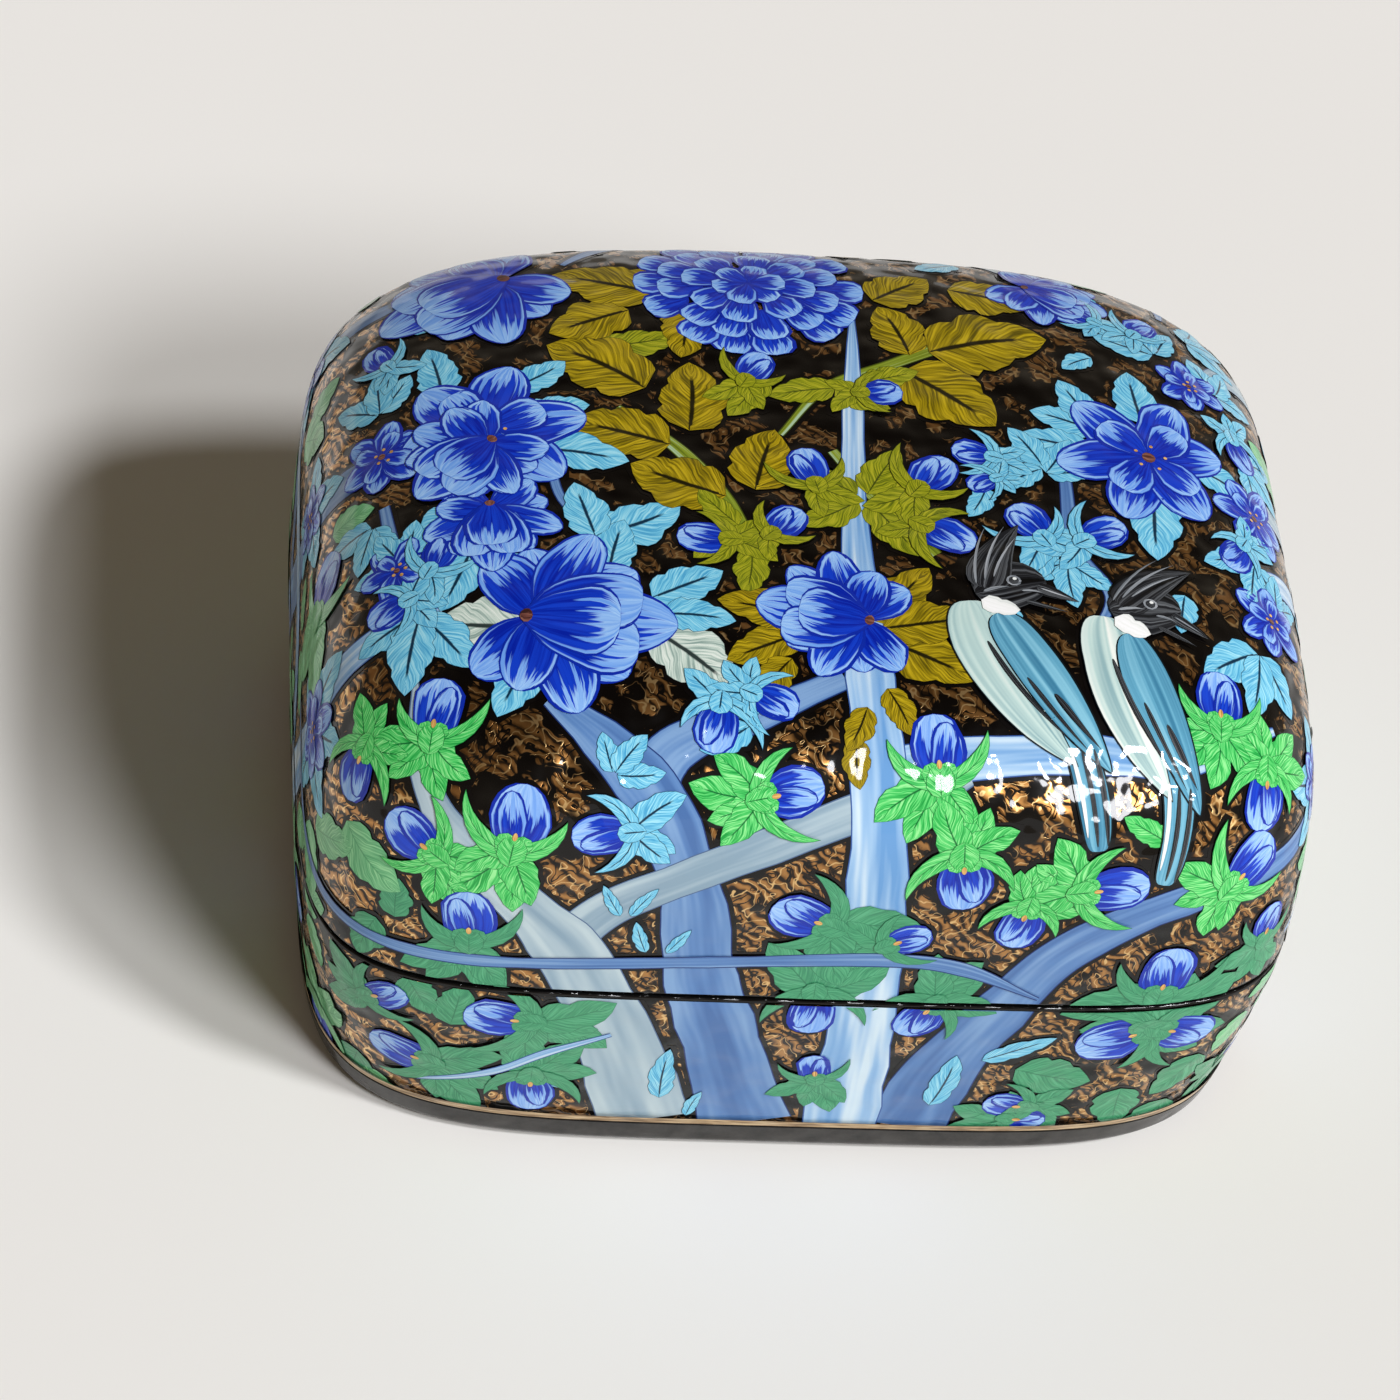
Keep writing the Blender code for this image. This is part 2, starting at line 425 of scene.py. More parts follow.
def keep(paint, starts, moves, along, across, rim, layer):
    """Note a stroke down, with what each of its points remembers for the colours: where it is across and
    along, and how far from the edge. Strokes of a layer lie a shade apart, so that no two share a plane."""
    layer += len(strokes) % 9 / 10
    strokes.append(
        {
            "paint": paint,
            "starts": starts,
            "moves": moves,
            "shape": across.shape,
            "mark": np.stack([across.ravel(), along, rim.ravel()], axis=1),
            "height": -PAINTING + FIRST_COAT + layer * LAYER,
            "tint": hand.random(),
        }
    )


def bough(paint, places, widths, layer, border=True):
    """A long stroke through several places, as wide at each of them as its own number says."""
    points = np.array([place[0] for place in places])
    padded = np.concatenate([[2 * points[0] - points[1]], points, [2 * points[-1] - points[-2]]])
    path, wide = [], []
    for i in range(len(points) - 1):
        a, b, c, d = padded[i : i + 4]
        count = max(2, math.ceil(np.linalg.norm(c - b) / BOUGH_STEP))
        for t in np.linspace(0, 1, count, endpoint=False):
            bent = 2 * b + (c - a) * t + (2 * a - 5 * b + 4 * c - d) * t**2 + (3 * b - a - 3 * c + d) * t**3
            path.append(bent / 2)
            wide.append(widths[i] + (widths[i + 1] - widths[i]) * t)
    path.append(points[-1])
    wide.append(widths[-1])
    path = settle(np.array(path))
    runs = np.gradient(path, axis=0)
    runs /= np.linalg.norm(runs, axis=1, keepdims=True)
    sides = np.cross(outward(path), runs)
    wobble = [hand.uniform(0.92, 1.08) for _ in range(len(path) // 4 + 2)]
    uneven = np.interp(np.arange(len(path)) / 4, range(len(wobble)), wobble)
    half = np.array(wide) / 2 * uneven
    lengths = np.concatenate([[0], np.cumsum(np.linalg.norm(np.diff(path, axis=0), axis=1))])
    for kind, halves, level in [(paint, half, layer), ("contour", half + BORDER, 0)][: 1 + border]:
        across = columns_across(kind, halves, path[0])
        moves = (sides[:, None] * (halves[:, None] * across)[..., None]).reshape(-1, 3)
        starts = np.repeat(path, across.shape[1], axis=0)
        rim = halves[:, None] * (1 - np.abs(across))
        along = np.repeat(lengths / 10, across.shape[1])
        keep(kind, starts, moves, along, across, rim, level)


def remembered(tree):
    """What a point knows of its stroke: where it is across and along, how far in, and the stroke's tint."""
    mark = add(tree, "Attribute", attribute_name="mark")
    split = add(tree, "SeparateXYZ", {0: mark.outputs["Vector"]})
    tint = add(tree, "Attribute", attribute_name="tint")
    return *split.outputs, tint.outputs["Fac"]


def hairs_of_brush(tree, values, scales, detail, roughness=0.5):
    """Noise drawn out over a stroke, as the hairs of a brush leave it, from three scaled values."""
    scaled = {}
    for i, (value, scale) in enumerate(zip(values, scales)):
        scaled[i] = add(tree, "Math", {0: value, 1: scale}, operation="MULTIPLY").outputs[0]
    where = add(tree, "CombineXYZ", scaled)
    look = {"Vector": where.outputs[0], "Scale": 1.0, "Detail": detail, "Roughness": roughness}
    return add(tree, "TexNoise", look).outputs[0]


def edged(tree, shader, colour, rim, edge_colour, edge_mm):
    """Finish a paint with the thin line that the painter draws round each shape."""
    edge = add(tree, "MapRange", {"Value": rim, 1: edge_mm, 2: edge_mm + 0.05, 3: 1.0, 4: 0.0})
    drawn = add(tree, "Mix", {0: edge.outputs[0], 6: colour, 7: linear(edge_colour)}, data_type="RGBA")
    tree.links.new(drawn.outputs[2], shader.inputs["Base Color"])


def streaked_paint(name, light, body, dark, edge_colour, hairs=1.6, run=0.35, edge_mm=0.1):
    """Gouache with long streaks down the whole stroke, as on boughs and feathers."""
    material, tree, shader, _ = varnished(name, 0.42)
    across, along, rim, tint = remembered(tree)
    noise = hairs_of_brush(tree, (across, along, tint), (hairs, run, 90.0), 2.0, 0.6)
    tone = add(tree, "ValToRGB", {"Fac": noise}, stops=[(0.34, dark), (0.5, body), (0.66, light)])
    edged(tree, shader, tone.outputs[0], rim, edge_colour, edge_mm)
    return material


paints["contour"], _, shader, _ = varnished("black ground left round the shapes", 0.38)
shader.inputs["Base Color"].default_value = linear("#070505")

paints["blue bough"] = streaked_paint("blue bough", "#7FA3CE", "#5E86BC", "#4A70A8", "#1C3470")
paints["pale bough"] = streaked_paint("pale blue bough", "#D2E6F2", "#9CC2E6", "#6A9ED4", "#34589C")
paints["grey bough"] = streaked_paint("grey blue bough", "#BCCED4", "#A4BAC6", "#88A2B4", "#50688C")
paints["stem"] = streaked_paint("olive stem", "#A8C4A0", "#8A9A2C", "#5C6C14", "#3A4410")


def limb(paint, layer, widths, **courses):
    """A bough through places on one face after another, with a width for each place."""
    bough(paint, [spot(face, a, b) for face, course in courses.items() for a, b in course], widths, layer)


limb("grey bough", 4, (9.4, 8.0, 7.2, 6.8, 5.4, 4.6, 3.6, 2.6, 0.6),
     front=[(-14, 4), (-18.5, 18), (-22.4, 27), (-25.3, 32), (-29.7, 37), (-34.8, 42), (-38, 45)],
     top=[(-40, -33), (-40.5, -26)])
limb("grey bough", 3, (5.4, 5.0, 4.6, 4.2, 4.0, 3.6, 1.4),
     front=[(-25, 32), (-21, 37), (-14.8, 41), (-8.2, 44.6)], top=[(2, -38.9), (8, -37.9), (12, -36.8)])
limb("blue bough", 2, (9.2, 8.0, 7.0, 6.0, 6.0, 5.6, 4.6, 2.0),
     front=[(-4, 4), (-8.3, 18.5), (-11.4, 28), (-13.4, 39), (-16, 46)], top=[(-18.6, -38), (-23.4, -34),
     (-28, -30)])
limb("blue bough", 1, (4.0, 4.6, 4.2, 3.6, 2.4),
     top=[(-18, -38.6), (-17.3, -36), (-14, -34), (-8, -31.9), (0, -28)])
limb("pale bough", 4, (7.8, 6.6, 5.8, 5.2, 3.8, 2.6, 2.2, 0.6),
     front=[(5.5, 4), (5.2, 24), (4, 42)], top=[(2.8, -34), (2.2, -19), (2.6, -5), (3.6, 9), (4.6, 22)])
limb("pale bough", 3, (4.0, 4.4, 4.0, 3.4, 1.0),
     top=[(5, -36), (14, -35), (23, -34), (33, -33), (43, -27)])
limb("blue bough", 2, (8.6, 7.6, 6.4, 5.2, 4.4, 3.4, 2.6, 0.8),
     front=[(12, 4), (14.5, 15), (18.6, 24), (23.2, 32), (30.2, 37.5), (37.8, 40)], right=[(-32.8, 40.5),
     (-25, 42)])
limb("blue bough", 10, (0.7, 1.3, 1.6, 1.6, 1.9, 1.9, 0.5),
     left=[(-12, 34), (-30, 29)], front=[(-34, 28.5), (-10, 30), (6, 31), (14, 30), (22, 26)])
limb("pale bough", 10, (0.5, 1.1, 1.2, 0.6), front=[(-37, 7.5), (-30, 11), (-25, 15), (-19, 18.5)])
limb("blue bough", 3, (1.2, 1.8, 1.4, 0.6), top=[(24, 0), (24, -10), (27, -16), (24, -22)])
limb("blue bough", 3, (1.0, 1.1, 0.7), top=[(-27, 0), (-26, -6), (-22, -12)])
limb("blue bough", 3, (1.4, 1.8, 0.7), top=[(-43, -4), (-42, -12), (-40, -20)])
limb("stem", 3, (1.2, 1.8, 2.0, 1.2), top=[(-20, 7), (-14, 1), (-10, -6), (-7, -15)])
limb("stem", 3, (1.6, 1.4, 1.2, 0.8), top=[(15, 19), (8, 15), (1, 11), (-4, 4)])
limb("stem", 3, (1.6, 1.4, 1.2), top=[(10, -12), (5, -5), (1, 2)])

# The boughs of the other three walls, some of which reach over on to the top.
limb("blue bough", 2, (8.4, 7.2, 5.8, 4.6, 3.4, 1.0),
     left=[(20, 4), (16, 16), (9, 28), (4, 38)], top=[(-43, 2), (-38, 4)])
limb("blue bough", 1, (3.0, 4.2, 3.6, 2.6, 0.8),
     left=[(12, 23), (18, 34), (24, 42)], top=[(-42, 27), (-37, 28)])
limb("pale bough", 4, (7.2, 6.2, 5.2, 4.2, 2.8, 0.8),
     left=[(-4, 4), (-9, 17), (-16, 29), (-21, 39)], top=[(-43, -20), (-38, -19)])
limb("pale bough", 3, (2.6, 3.8, 3.4, 2.6, 0.8), left=[(-11, 21), (-2, 31), (11, 35), (23, 37), (33, 42)])
limb("grey bough", 3, (8.0, 7.0, 5.6, 4.4, 3.2, 0.8),
     right=[(8, 4), (12, 17), (18, 29), (22, 40)], top=[(44, 22), (40, 18)])
limb("grey bough", 2, (2.6, 3.8, 3.2, 2.6, 0.8),
     right=[(14, 22), (9, 33), (4, 42)], top=[(44, 3), (40, 4)])
limb("pale bough", 4, (7.4, 6.2, 5.0, 3.8, 2.6, 0.8),
     right=[(-20, 4), (-15, 16), (-8, 28), (-6, 40)], top=[(45, -8), (42, -12)])
limb("pale bough", 2, (2.4, 3.4, 3.0, 2.2, 0.8), right=[(-11, 21), (2, 30), (16, 34), (26, 37), (34, 43)])
limb("blue bough", 2, (8.8, 7.6, 6.0, 4.6, 3.4, 1.0),
     back=[(-24, 4), (-27, 17), (-33, 29), (-36, 39)], top=[(-37, 36), (-34, 31)])
limb("blue bough", 1, (2.8, 4.2, 3.6, 2.6, 0.8),
     back=[(-29, 22), (-22, 33), (-18, 43)], top=[(-19, 37), (-24, 31)])
limb("pale bough", 4, (7.8, 6.6, 5.4, 4.2, 3.2, 0.8),
     back=[(-12, 4), (-6, 16), (1, 28), (3, 39)], top=[(1, 38), (-3, 32)])
limb("pale bough", 3, (2.6, 3.8, 3.4, 2.8, 0.8),
     back=[(-3, 22), (-12, 31), (-24, 35), (-34, 37), (-44, 43)])
limb("grey bough", 4, (8.4, 7.2, 5.8, 4.4, 3.2, 0.8),
     back=[(35, 4), (30, 15), (24, 27), (21, 38)], top=[(20, 38), (22, 33)])
limb("blue bough", 2, (7.6, 6.4, 5.0, 3.8, 2.6, 0.8),
     back=[(11, 4), (15, 14), (24, 25), (33, 35), (38, 43)], top=[(38, 30)])
limb("blue bough", 10, (0.7, 1.8, 2.2, 1.8, 0.7),
     back=[(43, 28), (22, 31), (4, 29), (-16, 32), (-38, 29)])
limb("pale bough", 10, (0.7, 1.6, 2.0, 1.6, 0.7),
     right=[(-34, 29), (-14, 30), (6, 28.5), (22, 31), (34, 28)])

# Leaves, in gouache: olive gold on the crown, turquoise and mint by the blossoms, greens lower down. Each
# is laid in with one broad touch, hatched outwards from the midrib, which is drawn last.
LEAF = (0.5, 0.8)
LEAF_LAYER = 6
LEAF_TEETH = 3
ROW = 0.8
NOTCH = 0.84


def stroke(paint, place, heading, length, width, outline, layer, bend=0.0, lead=0.0, teeth=0, border=True):
    """One leaf-shaped stroke. The outline's two numbers set how fast it swells and how fast it narrows."""
    swell, narrow = outline
    widest = swell / (swell + narrow)
    peak = widest**swell * (1 - widest) ** narrow
    if teeth:
        steps = np.linspace(0, 1, 4 * teeth + 1)
    else:
        count = max(5, math.ceil(length / ROW))
        steps = (1 - np.cos(np.pi * np.arange(count + 1) / count)) / 2
    half = width / 2 * (steps**swell * (1 - steps) ** narrow / peak)
    if teeth:
        notched = (np.arange(len(steps)) % 4 == 0) & (steps > 0.1) & (steps < 0.9)
        half = np.where(notched, half * NOTCH, half)
    half = np.maximum(half, 0.02)
    left, right = ([hand.uniform(0.87, 1.1) for _ in range(5)] for _ in range(2))
    uneven = [np.interp(steps, np.linspace(0, 1, 5), side)[:, None] for side in (left, right)]
    turns = np.radians(heading + bend * (steps - 0.3))
    middles = (turns[1:] + turns[:-1]) / 2
    gaps = np.diff(steps) * length
    x = np.concatenate([[0], np.cumsum(np.cos(middles) * gaps)]) + lead * math.cos(math.radians(heading))
    y = np.concatenate([[0], np.cumsum(np.sin(middles) * gaps)]) + lead * math.sin(math.radians(heading))
    point, rightwards, upwards = place
    grown = [(paint, half, 0.0, layer), ("contour", half + BORDER, BORDER, 0)][: 1 + border]
    for kind, halves, longer, level in grown:
        across = columns_across(kind, halves, point)
        ends = np.where(steps == 0, -longer, 0) + np.where(steps == 1, longer, 0)
        aside = halves[:, None] * across * np.where(across < 0, *uneven)
        px = (x + np.cos(turns) * ends)[:, None] - np.sin(turns)[:, None] * aside
        py = (y + np.sin(turns) * ends)[:, None] + np.cos(turns)[:, None] * aside
        moves = (px[..., None] * rightwards + py[..., None] * upwards).reshape(-1, 3)
        rim = halves[:, None] * (1 - np.abs(across))
        along = np.repeat(steps, across.shape[1])
        keep(kind, np.broadcast_to(point, moves.shape), moves, along, across, rim, level)


def leaf_paint(name, light, body, dark, vein, rib_width=0.05):
    """Gouache hatched slantwise to both sides of a midrib, which stops short of the tip."""
    material, tree, shader, _ = varnished(name, 0.42)
    across, along, rim, tint = remembered(tree)
    folded = add(tree, "Math", {0: across}, operation="ABSOLUTE").outputs[0]
    slant = add(tree, "Math", {0: folded, 1: -0.35, 2: along}, operation="MULTIPLY_ADD").outputs[0]
    hatch = hairs_of_brush(tree, (slant, across, tint), (32.0, 1.2, 70.0), 1.5)
    tone = add(tree, "ValToRGB", {"Fac": hatch}, stops=[(0.34, dark), (0.5, body), (0.68, light)])
    rib = add(tree, "MapRange", {"Value": folded, 1: rib_width, 2: rib_width + 0.05, 3: 1.0, 4: 0.0})
    short = add(tree, "MapRange", {"Value": along, 1: 0.72, 2: 0.8, 3: 1.0, 4: 0.0})
    ribbed = add(tree, "Math", {0: rib.outputs[0], 1: short.outputs[0]}, operation="MULTIPLY")
    veined = {0: ribbed.outputs[0], 6: tone.outputs[0], 7: linear(vein)}
    mixed = add(tree, "Mix", veined, data_type="RGBA")
    edged(tree, shader, mixed.outputs[2], rim, vein, 0.03)
    return material


def leaf(paint, place, heading, length, layer, shape, lead=0.0):
    """A notched leaf that curves a little to one side. Its shape is its width as a share of its length."""
    bend = hand.uniform(-22, 22)
    stroke(paint, place, heading, length, length * shape, LEAF, layer, bend, lead, LEAF_TEETH)


def leaves(paint, face, shape, *placed):
    """Single leaves, each given by its foot, its heading and its length."""
    for i, (a, b, heading, length) in enumerate(placed):
        leaf(paint, spot(face, a, b), heading, length, LEAF_LAYER + i % 2, shape)


paints["gold"] = leaf_paint("olive gold leaf", "#C2A81C", "#94800E", "#5E520A", "#1E1A05")
paints["olive"] = leaf_paint("olive green leaf", "#B4B02A", "#8E9418", "#5E6812", "#3E480E", 0.02)
paints["sky"] = leaf_paint("turquoise leaf", "#A4E2F2", "#74C8E6", "#4CA4D0", "#0C3048")
paints["mint"] = leaf_paint("pale mint leaf", "#E8F0E6", "#C2D4C8", "#8CA49C", "#2E3A38")
paints["green"] = leaf_paint("bright green leaf", "#98EE98", "#4CCC66", "#1E9C42", "#0C6A30", 0.02)
paints["foliage"] = leaf_paint("flat green leaf", "#58AE80", "#44996C", "#388862", "#2E7654", 0.0)
paints["meadow"] = leaf_paint("light green leaf", "#9ADCA0", "#72C086", "#58A870", "#4A9664", 0.0)

leaves("gold", "top", 0.74,
       (-17, 10, 142, 11.5), (-13, 4, 84, 10), (-15, 2, 162, 10), (-10, -5, 158, 10), (-7, -4, 76, 9),
       (-12, 22, -98, 7.5), (-9, 22, -60, 6.5), (-18, 22, 205, 9), (-21, 23, 250, 6.5),
       (-15, 25, 160, 11), (10, 16.5, 106, 8), (12, 17, 20, 13), (9, 14, -38, 11.5), (7, 25, 40, 8),
       (15, 28, -10, 9))
leaves("gold", "top", 0.6,
       (3, -21, 48, 9.5), (4, -22, 12, 9.5), (3, -23, -24, 11), (-3, -21, 166, 9), (-4, -23, 205, 8),
       (-5, -26, 232, 6), (4, -29, -62, 5.5), (2, -31, 250, 5), (1, -34, 270, 5))
leaves("olive", "top", 0.55,
       (-21, 16, 12, 8), (-5, 12, 235, 7), (3, -4, 150, 6.5), (4, -4, 62, 7.5), (4, -5, -58, 8.5),
       (3, -5, 214, 7), (6, -4, 22, 6.5), (-9, -9, 130, 6), (-9, -10, 215, 6), (-8, -12, 265, 6.5),
       (2, 11, 190, 7), (2, 11, -30, 6), (5, 12, 20, 6))
leaves("sky", "top", 0.62,
       (-37, 10, 98, 7.5), (-30, 10, 32, 6.5), (-29, 6, 14, 6.5), (-28, 1, -8, 9), (-34, -6, 214, 9),
       (-35, -12, 248, 8), (-32, -13, 290, 8), (-23, -11, 104, 7.5), (-23, -11, 24, 9.5),
       (-22, -16, 78, 7.5), (-18, -19, 28, 8), (-17, -21, -2, 7), (-29, -25, 236, 8), (-26, -27, 268, 5),
       (-33, -14, 205, 5), (33, 9, 96, 8), (27, 4, 168, 7.5), (33, -1, 264, 9.5), (38, 4, -14, 7),
       (28, 8, 118, 7), (28, 7, 160, 7))
for x, y, heading in ((-29, -22, 176), (-18, -23, -40)):
    leaf("mint", spot("top", x, y), heading, 10, 5, 0.72)
leaves("sky", "front", 0.34,
       (-19, 36, 62, 4.5), (-20, 36, 118, 4.5), (-17, 31, 110, 4.5), (-15, 31, 60, 4), (-13, 8, 92, 8.5),
       (14, 8, 78, 9), (18, 16, 30, 8), (-10, 5, 80, 4.5), (-23, 9, 118, 8))


def spray(place, heading, length, count, spread=52):
    """A fan of turquoise leaves from one point."""
    for i in range(count):
        turn = heading + spread * (i - (count - 1) / 2) + hand.uniform(-8, 8)
        grown = length * hand.uniform(0.82, 1.1)
        leaf("sky", place, turn, grown, LEAF_LAYER + i % 2, 0.58, lead=0.3)


for x, y, heading, length, count in (
    (22, 1, 140, 6.5, 4), (22, 0, 40, 6, 2), (23, -12, 265, 5.5, 3), (42, 17, 60, 6, 3),
    (36, 21, 120, 6, 3), (31, 27, 170, 6, 3), (44, 8, 330, 6, 3), (43, -7, 250, 7, 3),
    (42, -19, 262, 8, 3), (45, -12, 60, 6, 2), (-41, -13, 130, 6.5, 3), (-40, -19, 255, 8, 3),
    (-44, -6, 240, 6, 3), (-43, 9, 100, 6, 3), (-38, 20, 60, 5, 3), (16, -2, 250, 4.5, 1),
    (-9, -33, 160, 5, 3), (-22, -37, 60, 4.5, 3), (40, 26, 20, 6, 3),
):
    spray(spot("top", x, y), heading, length, count)

# Blossoms, in gouache. The petals are pale blue. Deep blue is pulled out over them from the foot in hairs
# of unequal length, a pale border is left, and a thin deep line is drawn round.
POINTED_PETAL = (0.7, 0.55)
ROUND_PETAL = (0.75, 0.34)
DOT = (0.5, 0.5)
STAR_PETALS = 6
STRIDE = 1.2


def walk(starts, moves):
    """Go from each start over the form, by a move that lies along it, in short straight steps."""
    points = starts.copy()
    left = np.linalg.norm(moves, axis=1)
    courses = moves / np.maximum(left, 1e-9)[:, None]
    while (left > 1e-6).any():
        going = left > 1e-6
        step = np.minimum(left[going], STRIDE)
        there = settle(points[going] + courses[going] * step[:, None], tries=1)
        normals = outward(there)
        course = courses[going] - normals * (courses[going] * normals).sum(axis=1, keepdims=True)
        courses[going] = course / np.linalg.norm(course, axis=1, keepdims=True)
        points[going] = there
        left[going] -= step
    return points


def near(place, x, y):
    """The place that lies x to the right and y up from another."""
    point, right, up = place
    moved = walk(point[None], (right * x + up * y)[None])
    return facing(settle(moved)[0], right)


def petal_paint(name, pale, paler, deep, deeper, edge_colour, share, hairs):
    """Pale gouache with a deep blue pulled over it from the foot, up to a share of the petal's length."""
    material, tree, shader, _ = varnished(name, 0.42)
    across, along, rim, tint = remembered(tree)
    noise = hairs_of_brush(tree, (across, along, tint), (hairs, 0.8, 90.0), 2.0, 0.6)
    centred = add(tree, "Math", {0: across, 1: across}, operation="MULTIPLY").outputs[0]
    uneven = add(tree, "MapRange", {"Value": noise, 1: 0.3, 2: 0.7, 3: share - 0.3, 4: share + 0.22})
    longer = add(tree, "Math", {0: centred, 1: 0.16, 2: uneven.outputs[0]}, operation="MULTIPLY_ADD")
    drawn = add(tree, "Math", {0: longer.outputs[0], 1: along}, operation="SUBTRACT")
    pulled = add(tree, "MapRange", {"Value": drawn.outputs[0], 1: -0.03, 2: 0.06})
    border = add(tree, "Math", {0: along, 1: 0.7, 2: 0.1}, operation="MULTIPLY_ADD")
    past = add(tree, "Math", {0: rim, 1: border.outputs[0]}, operation="SUBTRACT")
    kept = add(tree, "MapRange", {"Value": past.outputs[0], 1: -0.05, 2: 0.12})
    deepness = add(tree, "Math", {0: pulled.outputs[0], 1: kept.outputs[0]}, operation="MULTIPLY")
    body = add(tree, "ValToRGB", {"Fac": noise}, stops=[(0.35, pale), (0.62, paler)])
    dark = add(tree, "ValToRGB", {"Fac": noise}, stops=[(0.4, deeper), (0.6, deep)])
    laid_over = {0: deepness.outputs[0], 6: body.outputs[0], 7: dark.outputs[0]}
    mixed = add(tree, "Mix", laid_over, data_type="RGBA")
    ragged = add(tree, "Math", {0: noise, 1: -0.9, 2: rim}, operation="MULTIPLY_ADD")
    edged(tree, shader, mixed.outputs[2], ragged.outputs[0], edge_colour, -0.15)
    return material


def star(place, size, heading, layer=9):
    """An open blossom seen from its face, with two rings of petals."""
    for i in range(STAR_PETALS):
        turn = heading + 360 / STAR_PETALS * i + hand.uniform(-6, 6)
        length = size * 0.52 * hand.uniform(0.9, 1.08)
        stroke("petal", place, turn, length, size * 0.34, POINTED_PETAL, layer + i % 2)
    inner = STAR_PETALS - 2
    for i in range(inner):
        turn = heading + 360 / inner * (i + 0.5) + hand.uniform(-8, 8)
        stroke("petal", place, turn, size * 0.34, size * 0.26, ROUND_PETAL, layer + 2 + i % 2, border=False)
    stroke("rust", near(place, -size * 0.04, 0), 0, size * 0.08, size * 0.08, DOT, layer + 4, border=False)
    for i in range(5):
        turn = math.radians(heading + 72 * i)
        dot = near(place, math.cos(turn) * size * 0.09, math.sin(turn) * size * 0.09)
        stroke("gilt", dot, 0, 0.4, 0.4, DOT, layer + 5, border=False)


def lotus(place, heading, size, layer=9):
    """A half-open blossom seen from the side: back petals, drooping ones, and a cup of broad ones."""
    for i, turn in enumerate((-126, 126, -96, 96, -64, 64, -34, 34)):
        length = size * (0.42 if abs(turn) > 90 else 0.54) * hand.uniform(0.92, 1.08)
        level = layer + i % 3
        stroke("petal", place, heading + turn, length, size * 0.3, POINTED_PETAL, level, bend=turn * 0.2)
    stroke("petal", place, heading, size * 0.64, size * 0.38, POINTED_PETAL, layer + 3)
    for side in (-1, 1):
        stroke("petal", place, heading + side * 24, size * 0.56, size * 0.36, ROUND_PETAL,
               layer + 4 + (side > 0), bend=-side * 34, lead=-0.06 * size, border=False)
    stroke("petal", place, heading, size * 0.46, size * 0.42, ROUND_PETAL,
           layer + 6, lead=-0.08 * size, border=False)
    stroke("rust", place, heading + 180, size * 0.06, size * 0.08, DOT,
           layer + 7, lead=0.02 * size, border=False)


def peony(place, size, layer):
    """A full blossom of many short scalloped petals in rings."""
    rings = ((14, 0.30, 0.21, 0.2), (12, 0.20, 0.21, 0.19), (8, 0.10, 0.2, 0.19), (6, 0.0, 0.17, 0.15))
    for level, (count, lead, length, width) in enumerate(rings):
        for i in range(count):
            turn = 360 / count * (i + level * 0.4) + hand.uniform(-5, 5)
            stroke("petal", place, turn, size * length, size * width, ROUND_PETAL,
                   layer + 2 * level + i % 2, lead=size * lead, border=level == 0)


paints["petal"] = petal_paint(
    "petal blue", "#6EA2EE", "#A6D0FC", "#123EC8", "#0420A0", "#0C2AA4", share=0.77, hairs=7.0
)
paints["rust"] = streaked_paint("flower centre", "#A0705C", "#6E4038", "#38201E", "#2A120C", edge_mm=0.0)
paints["gilt"] = streaked_paint("gold dot", "#F0CC84", "#D9A860", "#A87438", "#A87438", edge_mm=0.0)

peony(spot("top", -5.5, 27), 23, 8)
lotus(spot("top", -31, 28), 205, 21)
star(spot("top", -33, 4), 19, 70)
lotus(spot("top", -33, 2), 222, 15, layer=15)
lotus(spot("top", -33, -7), 270, 13, layer=12)
lotus(spot("top", -29, -21), -6, 21)
lotus(spot("top", 2, -21), 170, 16)
star(spot("top", 33, 4), 18, 10)
lotus(spot("top", 24, 30), -20, 13)
for x, y, size in ((-43, 3, 10), (-42, -13, 8), (44, 0, 10), (44, -14, 9), (39, 17, 8)):
    star(spot("top", x, y), size, heading=hand.uniform(0, 60), layer=7)
for face, across, up, size in (
    ("left", 27, 41, 10), ("left", -22, 40, 10), ("left", 4, 43, 8), ("right", 21, 40, 10),
    ("right", -5, 41, 9), ("right", -26, 42, 8), ("back", -17, 43, 11), ("back", 4, 41, 10),
    ("back", 37, 41, 11), ("back", -38, 40, 9),
):
    spray(spot(face, across, up), hand.uniform(0, 360), size * 0.85, 5, 72)
    star(spot(face, across, up), size, heading=hand.uniform(0, 60), layer=11)

# Buds, in the blues of the blossoms. Each sits in a ragged cup of sepals, two of which curl up beside it,
# and those at the front have a touch of gold where the cup opens.
SEPAL = (0.4, 0.9)
EGG = (0.5, 0.42)
SEPALS_BEHIND = {"sky": (152, -146, 112), "olive": (154, -142)}
MORE_SEPALS = (150, -150, 184, 108)
paints["bud"] = petal_paint(
    "bud blue", "#76A6EE", "#AAD0FA", "#1644CA", "#0624A2", "#0E2CA6", share=0.68, hairs=6.0
)


